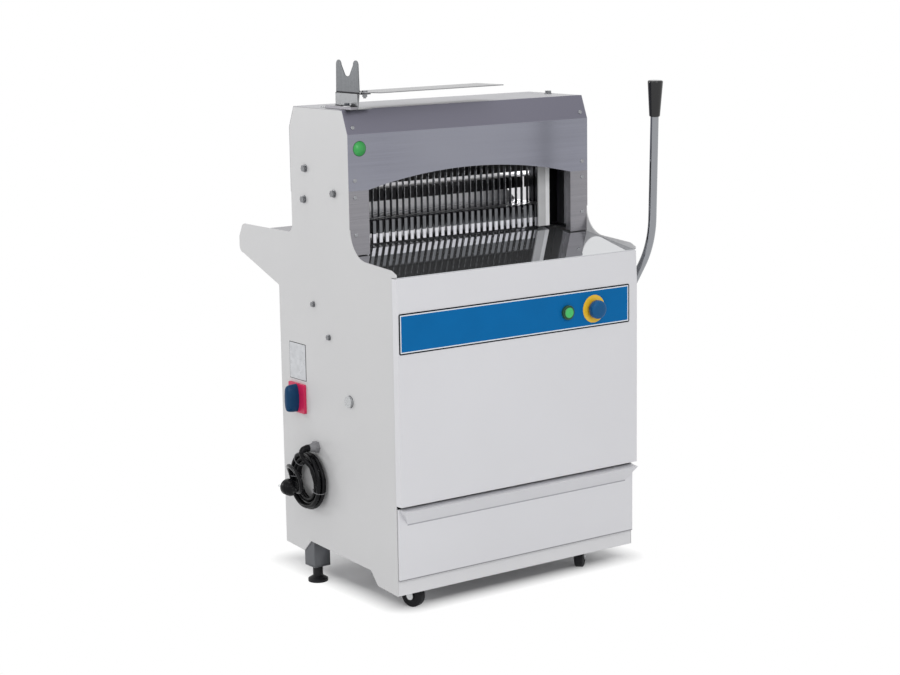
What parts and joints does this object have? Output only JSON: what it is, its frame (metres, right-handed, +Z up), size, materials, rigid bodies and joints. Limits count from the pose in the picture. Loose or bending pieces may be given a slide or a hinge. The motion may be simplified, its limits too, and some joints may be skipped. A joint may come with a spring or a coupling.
{
  "type": "bread slicer",
  "caption": "Floor-standing bread slicer with reciprocating blade frames, a hand feed lever, pusher fingers, crumb drawer, bag rack, mains lead, casters and levelling feet.",
  "frame": {"origin": "on the floor under the middle of the machine, without its mains lead", "axes": "+X to the right as the operator faces it, +Y from the front to the rear table, +Z up"},
  "size_m": [0.7425, 0.6669, 1.143],
  "materials": {
    "panel_white": "semi-gloss powder coat",
    "cover_white": "semi-gloss powder coat",
    "stainless": "brushed stainless sheet",
    "mirror_steel": "polished stainless sheet",
    "blade_steel": "ground steel",
    "zinc_steel": "zinc plated",
    "frame_grey": "grey primer",
    "cast_parts": "painted casting",
    "light_alloy": "machined",
    "motor_grey": "painted casting",
    "belt_rubber": "matt",
    "tyre_black": "matt",
    "black_plastic": "matt",
    "black_gloss": "glossy",
    "white_plastic": "satin",
    "blue_fascia": "printed film with black and white edge lines",
    "green_plastic": "glossy",
    "yellow_plastic": "glossy",
    "blue_plastic": "glossy",
    "red_plate": "glossy",
    "navy_plastic": "glossy",
    "grey_plastic": "satin",
    "cord_black": "matt"
  },
  "bodies": {
    "machine": {"base_pan": "panel_white", "bearings": "cast_parts", "blade_guides": "white_plastic", "cable_gland": "grey_plastic", "caster_beam": "frame_grey", "control_collars": "white_plastic", "control_fascia": "blue_fascia", "cord_coil": "cord_black", "cord_lead": "cord_black", "crank_rails": "frame_grey", "crumb_chute": "stainless", "drawer_runners": "zinc_steel", "drive_belt": "belt_rubber", "electric_boxes": "black_plastic", "estop_plate": "yellow_plastic", "fork_bracket": "stainless", "front_cover": "cover_white", "front_hood": "stainless", "hood_rivets": "zinc_steel", "infeed_table": "stainless", "inner_liners": "mirror_steel", "jambs": "stainless", "motor": "motor_grey", "outfeed_tray": "mirror_steel", "panel_bolts": "zinc_steel", "plug": "cord_black", "pusher_rails": "zinc_steel", "rear_cover": "panel_white", "rear_legs": "frame_grey", "side_panel_left": "panel_white", "side_panel_right": "panel_white", "slotted_bed": "stainless", "switch_plate": "red_plate", "top_cover": "cover_white"},
    "blade_frame_front": {"blade_frame_front": "blade_steel"},
    "blade_frame_rear": {"blade_frame_rear": "blade_steel"},
    "crank": {"crankshaft": "cast_parts", "crank_pulley": "cast_parts"},
    "conrods_front": {"conrods_front": "light_alloy"},
    "conrods_rear": {"conrods_rear": "light_alloy"},
    "motor_rotor": {"motor_pulley": "cast_parts"},
    "lever": {"feed_shaft": "zinc_steel", "lever_tube": "mirror_steel", "lever_knob": "black_gloss"},
    "pusher": {"pusher_fingers": "blade_steel", "pusher_plate": "mirror_steel", "pusher_carriage": "zinc_steel"},
    "drawer": {"drawer_front": "cover_white", "drawer_box": "panel_white"},
    "start_button": {"button_cap": "green_plastic"},
    "emergency_stop": {"estop_mushroom": "blue_plastic"},
    "main_switch": {"switch_knob": "navy_plastic"},
    "bag_scoop": {"bag_scoop": "stainless"},
    "caster_left": {"caster_fork_left": "zinc_steel"},
    "caster_right": {"caster_fork_right": "zinc_steel"},
    "wheel_left": {"caster_wheel_left": "tyre_black"},
    "wheel_right": {"caster_wheel_right": "tyre_black"},
    "foot_left": {"foot_left": "black_plastic"},
    "foot_right": {"foot_right": "black_plastic"}
  },
  "joints": [
    {"name": "front_blades_slide", "type": "slide", "parent": "machine", "child": "blade_frame_front", "axis": [0, 0, 1], "range_m": [-0.02, 0.02]},
    {"name": "rear_blades_slide", "type": "slide", "parent": "machine", "child": "blade_frame_rear", "axis": [0, 0, 1], "range_m": [-0.02, 0.02]},
    {"name": "crank_turn", "type": "hinge", "parent": "machine", "child": "crank", "pos_m": [-0.002, -0.022, 0.33], "axis": [1, 0, 0], "continuous": true},
    {"name": "front_conrods_turn", "type": "hinge", "parent": "crank", "child": "conrods_front", "pos_m": [-0.002, -0.042, 0.33], "axis": [1, 0, 0], "continuous": true},
    {"name": "rear_conrods_turn", "type": "hinge", "parent": "crank", "child": "conrods_rear", "pos_m": [-0.002, -0.002, 0.33], "axis": [1, 0, 0], "continuous": true},
    {"name": "motor_turn", "type": "hinge", "parent": "machine", "child": "motor_rotor", "pos_m": [-0.002, 0.062, 0.176], "axis": [1, 0, 0], "continuous": true},
    {"name": "lever_swing", "type": "hinge", "parent": "machine", "child": "lever", "pos_m": [0.343, -0.108, 0.436], "axis": [1, 0, 0], "range_deg": [-39.6, 0]},
    {"name": "pusher_slide", "type": "slide", "parent": "machine", "child": "pusher", "axis": [0, 1, 0], "range_m": [0, 0.19]},
    {"name": "drawer_slide", "type": "slide", "parent": "machine", "child": "drawer", "axis": [0, -1, 0], "range_m": [0, 0.2]},
    {"name": "start_button_press", "type": "slide", "parent": "machine", "child": "start_button", "axis": [0, 1, 0], "range_m": [0, 0.003], "stiffness_N_per_m": 300, "springref_m": -0.002},
    {"name": "emergency_stop_press", "type": "slide", "parent": "machine", "child": "emergency_stop", "axis": [0, 1, 0], "range_m": [0, 0.005]},
    {"name": "main_switch_turn", "type": "hinge", "parent": "machine", "child": "main_switch", "pos_m": [-0.317, 0.098, 0.412], "axis": [1, 0, 0], "range_deg": [0, 90]},
    {"name": "bag_scoop_swing", "type": "hinge", "parent": "machine", "child": "bag_scoop", "pos_m": [-0.274, -0.125, 1.078], "axis": [0, 0, 1], "range_deg": [-90, 0]},
    {"name": "caster_left_swivel", "type": "hinge", "parent": "machine", "child": "caster_left", "pos_m": [-0.24, -0.19, 0.06], "axis": [0, 0, 1], "continuous": true},
    {"name": "wheel_left_roll", "type": "hinge", "parent": "caster_left", "child": "wheel_left", "pos_m": [-0.23384, -0.20691, 0.025], "axis": [0.9397, 0.342, 0], "continuous": true},
    {"name": "foot_left_turn", "type": "hinge", "parent": "machine", "child": "foot_left", "pos_m": [-0.2945, 0.075, 0.02], "axis": [0, 0, 1], "continuous": true},
    {"name": "caster_right_swivel", "type": "hinge", "parent": "machine", "child": "caster_right", "pos_m": [0.236, -0.19, 0.06], "axis": [0, 0, 1], "continuous": true},
    {"name": "wheel_right_roll", "type": "hinge", "parent": "caster_right", "child": "wheel_right", "pos_m": [0.22262, -0.20204, 0.025], "axis": [0.6691, -0.7431, 0], "continuous": true},
    {"name": "foot_right_turn", "type": "hinge", "parent": "machine", "child": "foot_right", "pos_m": [0.2905, 0.075, 0.02], "axis": [0, 0, 1], "continuous": true}
  ],
  "couplings": [
    {"joint": "rear_blades_slide", "follows": "front_blades_slide", "ratio": -1},
    {"joint": "front_conrods_turn", "follows": "crank_turn", "ratio": -1},
    {"joint": "rear_conrods_turn", "follows": "crank_turn", "ratio": -1},
    {"joint": "motor_turn", "follows": "crank_turn", "ratio": 2.2857},
    {"joint": "pusher_slide", "follows": "lever_swing", "m_per_rad": -0.2749}
  ]
}
